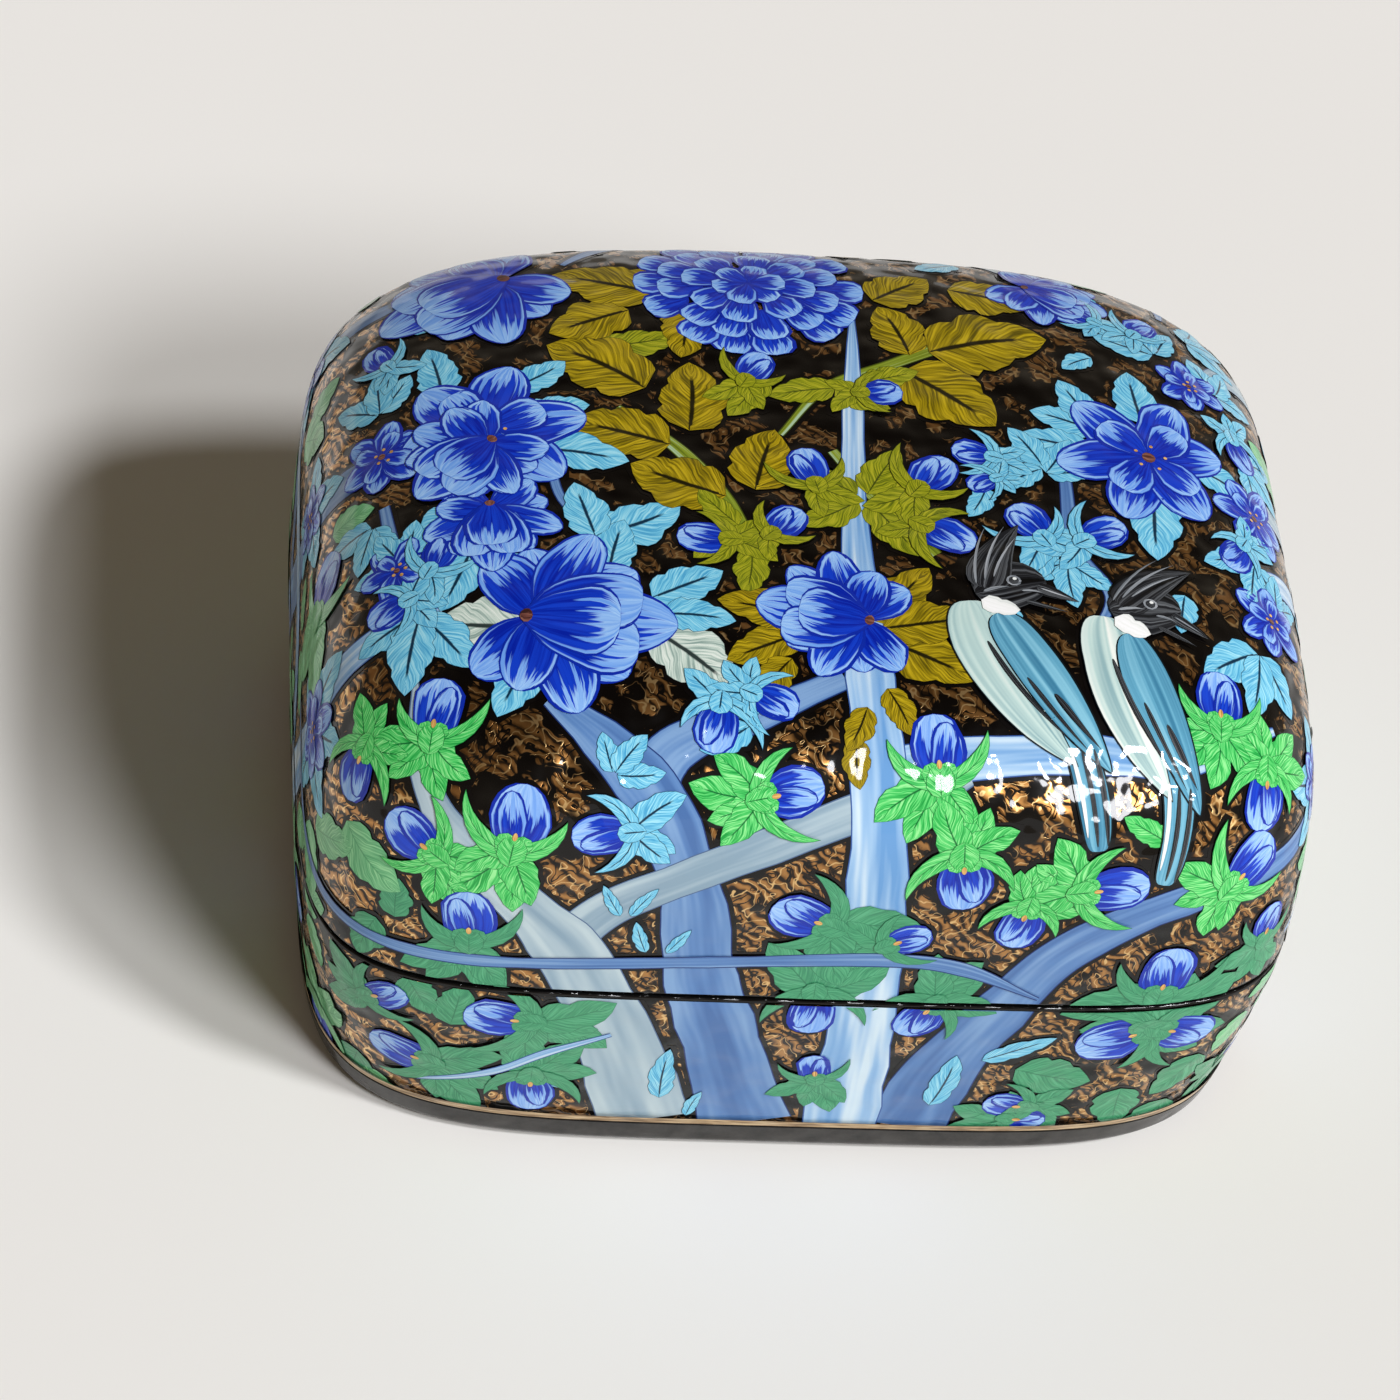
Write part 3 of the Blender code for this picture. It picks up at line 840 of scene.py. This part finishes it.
def bud(place, heading, size, green, layer=11):
    """A bud in its cup. A green cup is fuller than one in sky or olive, and has more sepals behind it."""
    for i, turn in enumerate(SEPALS_BEHIND.get(green, MORE_SEPALS)):
        length = size * hand.uniform(0.75, 1.1) * (1.25 if green in ("foliage", "meadow") else 1.0)
        stroke(green, place, heading + turn + hand.uniform(-16, 16), length, length * 0.56, LEAF,
               layer - 3 + i % 2, bend=hand.uniform(-40, 40), teeth=2)
    stroke("bud", place, heading, size, size * 0.8, EGG, layer, lead=-0.05 * size)
    folded = heading + hand.choice((-12, 12))
    stroke("bud", place, folded, size * 0.84, size * 0.4, EGG, layer + 2, border=False)
    for side in (-1, 1):
        length = size * hand.uniform(1.0, 1.35)
        stroke(green, place, heading + side * 66, length, size * 0.28, SEPAL,
               layer + 3, bend=-side * 84, lead=-0.1 * size)
        if green in ("green", "foliage", "meadow"):
            stroke(green, place, heading + side * 44, size * 0.5, size * 0.34, EGG,
                   layer + 4, lead=-0.2 * size, border=False)
    stroke(green, place, heading, size * 0.46, size * 0.42, EGG, layer + 5, lead=-0.24 * size, border=False)
    if green in ("green", "foliage"):
        stroke("gilt", place, heading, 0.9, 0.55, DOT, layer + 6, lead=0.16 * size, border=False)


def buds(green, face, *placed):
    """Buds, each given by its foot, its heading and its length."""
    for a, b, heading, size in placed:
        bud(spot(face, a, b), heading, size, green)


buds("olive", "top",
     (-7, 11.5, 62, 5), (4.5, 10.5, 4, 4.5), (-1, -3, 102, 5.5), (9, -3, 52, 6), (-6, -10, 46, 5),
     (9, -8, -28, 6), (-10, -11, 178, 5.5))
buds("sky", "top",
     (17, 2, 166, 4.5), (17, -1, 205, 3.5), (21, -9, 120, 5.5), (25, -9, 34, 5.5), (-12, -31, 262, 5.5),
     (-9, -30, -22, 5), (-20, -40, 190, 6), (34, 24, 60, 4.5), (30, 25, 150, 4), (43, 11, 290, 5),
     (42, -5, 240, 5), (-39, -14, 60, 5), (-41, -17, 200, 5), (-42, 16, 120, 4.5))
buds("green", "top",
     (-39, -32, 82, 6.5), (-45, -30, 240, 6), (-31, -40, 84, 7.5), (9, -37, 96, 7), (37, -29, 88, 6.5),
     (42, -31, 268, 6.5), (-8, -38.5, 14, 6.5))
buds("green", "front",
     (12, 45, -84, 7), (24, 41, 8, 7), (19, 39, -98, 6), (39, 40, 48, 7), (-38, 41, 150, 6.5))
buds("foliage", "front",
     (-34, 31, 96, 7), (0.5, 35.5, 158, 7), (6, 33, 30, 5), (34, 26, 84, 7.5), (-27, 20, 176, 7),
     (-43, 19, 40, 5.5), (-36, 11, 172, 7), (-26, 11, -88, 6.5), (0, 26, -88, 6.5), (12, 25, 240, 6),
     (34, 21, 204, 8), (35, 21, -22, 7), (24, 8, 172, 5), (22, 6, -10, 4.5), (44, 9, 30, 4),
     (44, 31, 80, 5), (2, 12, 100, 4.5))

# Foliage and small leaves. What ground is still bare at the end is filled with single leaves and, on the
# sides and the back, with a few more buds. Each leaf turns to where there is most room for it.
HEADINGS_TRIED = 6
LEAST_ROOM = 1
MOST_ARRAYS = 12


def laid():
    """Every point of every stroke, in its place on the form."""
    starts = np.concatenate([s["starts"] for s in strokes])
    moves = np.concatenate([s["moves"] for s in strokes])
    heights = np.concatenate([np.full(len(s["starts"]), s["height"]) for s in strokes])
    points = settle(walk(starts, moves))
    return points + outward(points) * heights[:, None]


placed = laid()
painted = kdtree.KDTree(len(placed))
for i, point in enumerate(placed):
    painted.insert(point, i)
painted.balance()
added = []


def clearance(point):
    """How far off the nearest paint is, in millimetres."""
    gaps = [np.sqrt(((points - point) ** 2).sum(axis=1).min()) for points in added]
    return min([painted.find(point)[2]] + gaps)


def bare(face, low, high, gap, tries, place_one):
    """Try random places in an area, and paint where the nearest paint is further off than the gap."""
    for _ in range(tries):
        place = spot(face, hand.uniform(low[0], high[0]), hand.uniform(low[1], high[1]))
        if clearance(place[0]) > gap:
            first = len(strokes)
            place_one(place)
            if len(strokes) > first:
                added.append(np.concatenate([s["starts"] + s["moves"] for s in strokes[first:]]))
            if len(added) > MOST_ARRAYS:
                added[:] = [np.concatenate(added)]


def wall_bud(place):
    """A bud of any heading and size."""
    bud(place, hand.uniform(0, 360), hand.uniform(5.5, 7.5), "meadow")


def small_leaf(paint, low, high, shape):
    """A leaf that turns, out of a few headings, to where the ground is barest, if it is bare anywhere."""

    def place_one(place):
        length = hand.uniform(low, high)
        turns = [hand.uniform(0, 360) for _ in range(HEADINGS_TRIED)]
        rooms = []
        for turn in turns:
            angle = math.radians(turn)
            tip = near(place, math.cos(angle) * length * 0.8, math.sin(angle) * length * 0.8)
            rooms.append(clearance(tip[0]))
        if max(rooms) > LEAST_ROOM:
            leaf(paint, place, turns[rooms.index(max(rooms))], length, 5, shape)

    return place_one


for face, reach_out in (("left", 36), ("right", 36), ("back", 44)):
    bare(face, (-reach_out, 8), (reach_out, 46), 4.4, 160, wall_bud)
    bare(face, (-reach_out, 5), (reach_out, 50), 1.4, 600, small_leaf("meadow", 4.5, 9, 0.66))
bare("front", (-18, 5), (22, 30), 1.1, 400, small_leaf("foliage", 3.5, 6, 0.4))
bare("front", (-46, 5), (-18, 34), 1.3, 400, small_leaf("foliage", 4.5, 9.5, 0.72))
bare("front", (18, 5), (46, 34), 1.3, 400, small_leaf("foliage", 4.5, 9.5, 0.72))
bare("front", (-46, 36), (46, 48), 1.8, 120, small_leaf("green", 3.5, 6, 0.5))
bare("top", (-46, -38), (-28, 36), 2.4, 200, small_leaf("sky", 3.5, 6, 0.66))
bare("top", (16, -20), (46, 36), 2.4, 200, small_leaf("sky", 3.5, 6, 0.66))
bare("top", (-24, -18), (20, 36), 2.6, 160, small_leaf("gold", 4, 7, 0.7))

# Birds, in gouache. Two crested garden birds perch on the pale bough: tail, breast and wing first, then
# the head, its streaks, and the white cheek.
paints["breast"] = streaked_paint("bird breast", "#F4F8F0", "#C4DED8", "#84AAB0", "#101820", hairs=2.0)
paints["wing"] = streaked_paint(
    "bird wing", "#86C4DA", "#62A6C2", "#3F80A0", "#0A1418", hairs=3.0, edge_mm=0.16
)
paints["black"] = streaked_paint(
    "bird head", "#6C7074", "#222428", "#08090A", "#08090A", hairs=6.0, edge_mm=0.0
)
paints["ash"] = streaked_paint("ash streak", "#B8BCC0", "#8A9096", "#5A6066", "#4A5056", edge_mm=0.0)
paints["white"] = streaked_paint("bird cheek", "#FFFFFF", "#F4F6F2", "#D0D8D4", "#C8D0CE", edge_mm=0.0)


def bird(place, tilt, crest, layer=13):
    """A bird facing right, its head at the place. Each part is given by its paint, its foot, heading,
    length and width, its outline, its level over the layer, its bend and its teeth."""
    turn = math.radians(tilt)
    for paint, x, y, heading, length, width, outline, level, bend, teeth in (
        ("wing", 0.2, -8.6, -63, 22.0, 3.5, (0.3, 0.2), 0, -22, 0),
        ("black", 5.8, -19.0, -74, 9.6, 0.5, (0.4, 0.5), 4, -4, 0),
        ("black", 7.0, -18.6, -75, 9.8, 0.55, (0.4, 0.5), 4, -4, 0),
        ("white", 4.6, -18.8, -73, 9.0, 0.45, (0.4, 0.5), 4, -4, 0),
        ("breast", -4.4, -2.6, -70, 21.0, 6.2, (0.3, 0.8), 2, 44, 0),
        ("wing", -1.7, -4.0, -61, 20.0, 5.2, (0.35, 0.7), 3, 16, 0),
        ("black", -3.0, -7.6, -59, 13.5, 0.6, (0.4, 0.9), 5, 30, 0),
        ("black", 0.6, -11.6, -54, 9.5, 0.5, (0.4, 0.9), 5, 14, 0),
        ("black", 3.2, -13.2, -52, 7.0, 0.7, (0.4, 0.9), 5, 8, 0),
        ("black", -3.7, -1.7, 20, 7.5, 6.2, (0.46, 0.5), 6, -14, 0),
        ("black", -2.7, -0.9, 70 - crest, 9.8, 4.6, (0.3, 1.0), 7, -26, 0),
        ("black", 2.4, -0.4, -20, 4.4, 1.5, (0.2, 0.9), 8, 0, 0),
        ("black", 1.2, -2.3, -14, 4.2, 0.6, (0.3, 0.9), 8, 0, 0),
        ("ash", -3.5, -0.4, 84 - crest, 8.0, 0.34, (0.4, 0.9), 9, -28, 0),
        ("ash", -2.6, 0.2, 76 - crest, 7.8, 0.34, (0.4, 0.9), 9, -26, 0),
        ("ash", -1.7, 0.6, 68 - crest, 6.4, 0.3, (0.4, 0.9), 9, -22, 0),
        ("ash", -2.9, -1.4, 24, 2.8, 0.4, (0.4, 0.9), 9, -30, 0),
        ("ash", 0.9, -1.0, 4, 2.2, 0.3, (0.4, 0.9), 9, -40, 0),
        ("ash", 2.8, -0.5, -20, 3.2, 0.26, (0.4, 0.9), 9, 0, 0),
        ("ash", -0.5, 0.3, 0, 1.5, 1.4, DOT, 8, 0, 0),
        ("black", -0.25, 0.3, 0, 1.0, 1.0, DOT, 9, 0, 0),
        ("white", 0.15, 0.45, 20, 0.42, 0.4, DOT, 10, 0, 0),
        ("white", -3.2, -2.5, -20, 3.9, 2.5, (0.4, 0.6), 9, 24, 2),
    ):
        right, up = x * math.cos(turn) - y * math.sin(turn), x * math.sin(turn) + y * math.cos(turn)
        stroke(paint, near(place, right, up), heading + tilt, length, width, outline, layer + level, bend,
               teeth=teeth, border=width > 1.4)


bird(spot("top", 17.1, -15.4), 0, 0)
bird(spot("top", 30.5, -16.8), -9, 20)

# A thin line of dull gold paint runs round the base just above the foot board. It is drawn last, over the
# feet of the trunks.
FOOT_LINE = board_high.z + 0.65
FOOT_LINE_WIDTH = 0.85
paints["foot line"] = streaked_paint(
    "dull gold line", "#CDB48C", "#A98C68", "#6E5638", "#6E5638", run=3.0, edge_mm=0.0
)
round_the_foot = [facing(point, np.array([0.0, 0.0, 1.0])) for point in ring(FOOT_LINE, 120)]
closed = round_the_foot + round_the_foot[:1]
bough("foot line", closed, [FOOT_LINE_WIDTH] * len(closed), 23, border=False)

# The painting is put together. All strokes are laid on the form at once, with one mesh for each paint on
# the lid and one on the base, and cut off at the seam, where the box is sawn apart, and at the foot.
RIM = 0.55
PAINT_END = FOOT_LINE - 0.4
SQUARE_MARGIN = 0.07
points = laid()
offsets = np.concatenate([[0], np.cumsum([len(s["starts"]) for s in strokes])])


def cut(mesh, z, keep_above):
    """Cut a mesh off at a height, and throw one side away."""
    bmesh.ops.bisect_plane(
        mesh,
        geom=mesh.verts[:] + mesh.edges[:] + mesh.faces[:],
        plane_co=(0, 0, z * MM),
        plane_no=(0, 0, 1),
        clear_inner=keep_above,
        clear_outer=not keep_above,
    )


def trim(mesh, low, high):
    """Cut a mesh off at two heights, and turn its faces outwards."""
    heights = [vertex.co.z / MM for vertex in mesh.vertices]
    bm = bmesh.new()
    bm.from_mesh(mesh)
    if min(heights) < low:
        cut(bm, low, keep_above=True)
    if max(heights) > high:
        cut(bm, high, keep_above=False)
    bm.normal_update()
    if sum(face.normal.dot(face.calc_center_median()) for face in bm.faces) < 0:
        bmesh.ops.reverse_faces(bm, faces=bm.faces)
    bm.to_mesh(mesh)
    bm.free()


def map_squares(mesh):
    """Move each stroke's part of the map to a square of its own, with some room round it."""
    cells = np.zeros(len(mesh.polygons), np.int32)
    mesh.attributes["cell"].data.foreach_get("value", cells)
    found, order = np.unique(cells, return_inverse=True)
    side = math.ceil(math.sqrt(len(found)))
    local = np.zeros(len(mesh.loops) * 2, np.float32)
    mesh.uv_layers["OFBake"].data.foreach_get("uv", local)
    local = local.reshape(-1, 2) * (1 - 2 * SQUARE_MARGIN) + SQUARE_MARGIN
    owner = np.repeat(order, [polygon.loop_total for polygon in mesh.polygons])
    packed = (local + np.stack([owner % side, owner // side], axis=1)) / side
    mesh.uv_layers["OFBake"].data.foreach_set("uv", packed.astype(np.float32).ravel())
    mesh.attributes.remove(mesh.attributes["cell"])


def attribute(mesh, name, kind, domain, field, values):
    """A value for each point or face of a mesh."""
    mesh.attributes.new(name, kind, domain).data.foreach_set(field, np.asarray(values).ravel())


def sheets(name, paint, body, low, high):
    """One mesh of all strokes of a paint between two heights. A contour's middle, which its own stroke
    covers, is left open. Each stroke has a square of the map to itself."""
    vertices, faces, marks, tints, corners, cells = [], [], [], [], [], []
    for cell, (s, start) in enumerate(zip(strokes, offsets)):
        own = points[start : start + len(s["starts"])]
        if s["paint"] != paint or own[:, 2].max() <= low or own[:, 2].min() >= high:
            continue
        rows, columns = s["shape"]
        first = len(marks)
        vertices.extend(own)
        marks.extend(s["mark"])
        tints.extend([s["tint"]] * rows * columns)
        for r in range(rows - 1):
            for c in range(columns - 1):
                if paint == "contour" and c == 1 and 0 < r < rows - 2:
                    continue
                i = first + r * columns + c
                faces.append((i, i + columns, i + columns + 1, i + 1))
                near_side, far_side = c / (columns - 1), (c + 1) / (columns - 1)
                foot, tip = r / (rows - 1), (r + 1) / (rows - 1)
                corners.extend([(near_side, foot), (near_side, tip), (far_side, tip), (far_side, foot)])
                cells.append(cell)
    if not faces:
        return
    made = piece(name, vertices, faces, body)
    mesh = made.data
    attribute(mesh, "mark", "FLOAT_VECTOR", "POINT", "vector", np.array(marks, np.float32))
    attribute(mesh, "tint", "FLOAT", "POINT", "value", np.array(tints, np.float32))
    attribute(mesh, "cell", "INT", "FACE", "value", np.array(cells, np.int32))
    mesh.uv_layers.new(name="OFBake").data.foreach_set("uv", np.array(corners, np.float32).ravel())
    trim(mesh, low, high)
    map_squares(mesh)
    mesh.shade_smooth()
    place = np.zeros(len(mesh.vertices) * 3)
    mesh.vertices.foreach_get("co", place)
    mesh.normals_split_custom_set_from_vertices(outward(place.reshape(-1, 3) / MM).tolist())
    mesh.materials.append(paints[paint])


for paint in paints:
    label = paint.replace(" ", "_")
    sheets("lid_" + label, paint, "lid", SEAM + RIM, HEIGHT)
    sheets("base_" + label, paint, "base", PAINT_END, SEAM - RIM)

# The studio: a plain pale sheet under the box, the sun and a bright piece of sky that come in through a
# window at the front right, and the soft, warm light of a room.
FLOOR_REACH = 4000
floor_paint = bpy.data.materials.new("pale cotton sheet")
floor_paint.use_nodes = True
shader = floor_paint.node_tree.nodes["Principled BSDF"]
shader.inputs["Base Color"].default_value = linear("#F0EEE9")
shader.inputs["Specular IOR Level"].default_value = 0
bpy.ops.mesh.primitive_plane_add(size=2 * FLOOR_REACH * MM)
floor = bpy.context.object
floor.name = "floor"
floor.data.materials.append(floor_paint)


def lamp(name, azimuth, elevation, spread, strength):
    """A far, round light, as wide in the sky as its spread in degrees."""
    light = bpy.data.objects.new(name, bpy.data.lights.new(name, "SUN"))
    around, up = math.radians(azimuth), math.radians(elevation)
    level = math.cos(up)
    towards = Vector((math.cos(around) * level, math.sin(around) * level, math.sin(up)))
    light.rotation_euler = towards.to_track_quat("Z", "Y").to_euler()
    light.data.energy = strength
    light.data.color = linear("#FAFBFF")[:3]
    light.data.angle = math.radians(spread)
    bpy.context.scene.collection.objects.link(light)


lamp("sun through a window", azimuth=-37, elevation=50, spread=9.0, strength=1.8)
lamp("bright sky in the window", azimuth=-58, elevation=40, spread=15.7, strength=1.95)
world = bpy.data.worlds.new("soft room light")
bpy.context.scene.world = world
world.use_nodes = True
tree = world.node_tree
direction = add(tree, "SeparateXYZ", {"Vector": add(tree, "TexCoord").outputs["Generated"]})
room = add(tree, "ValToRGB", {"Fac": direction.outputs[2]}, stops=[(0.0, "#F4E2C8"), (0.9, "#50402E")])
tree.links.new(room.outputs[0], tree.nodes["Background"].inputs["Color"])
tree.nodes["Background"].inputs["Strength"].default_value = 0.4

# The camera is held above the front of the box and a little to its left. It is tilted, and aimed a little
# off the middle of the foot.
YAW = math.radians(-11.56)
ELEVATION = math.radians(46.66)
TILT = math.radians(9.61)
DISTANCE = 641.75
AIM_RIGHT = math.radians(-0.742)
AIM_UP = math.radians(1.377)
PICTURE_PIXELS = 1400
FOCAL_PIXELS = 6145.56
SENSOR_WIDTH = 36
UPWARDS = Vector((0, 0, 1))
level = math.cos(ELEVATION)
back = Vector((math.sin(YAW) * level, -math.cos(YAW) * level, math.sin(ELEVATION)))
right = UPWARDS.cross(back).normalized()
up = back.cross(right)
forward = (math.tan(AIM_RIGHT) * right + math.tan(AIM_UP) * up - back).normalized()
right = forward.cross(UPWARDS).normalized()
up = right.cross(forward)
camera_right = right * math.cos(TILT) + up * math.sin(TILT)
camera_up = up * math.cos(TILT) - right * math.sin(TILT)
camera = bpy.data.objects.new("camera", bpy.data.cameras.new("camera"))
turned = Matrix((camera_right, camera_up, -forward)).transposed().to_4x4()
camera.matrix_world = Matrix.Translation(back * DISTANCE * MM) @ turned
camera.data.sensor_width = SENSOR_WIDTH
camera.data.lens = FOCAL_PIXELS * SENSOR_WIDTH / PICTURE_PIXELS
camera.data.clip_start = 0.01
bpy.context.scene.collection.objects.link(camera)
bpy.context.scene.camera = camera
bpy.context.scene.view_settings.view_transform = "Standard"
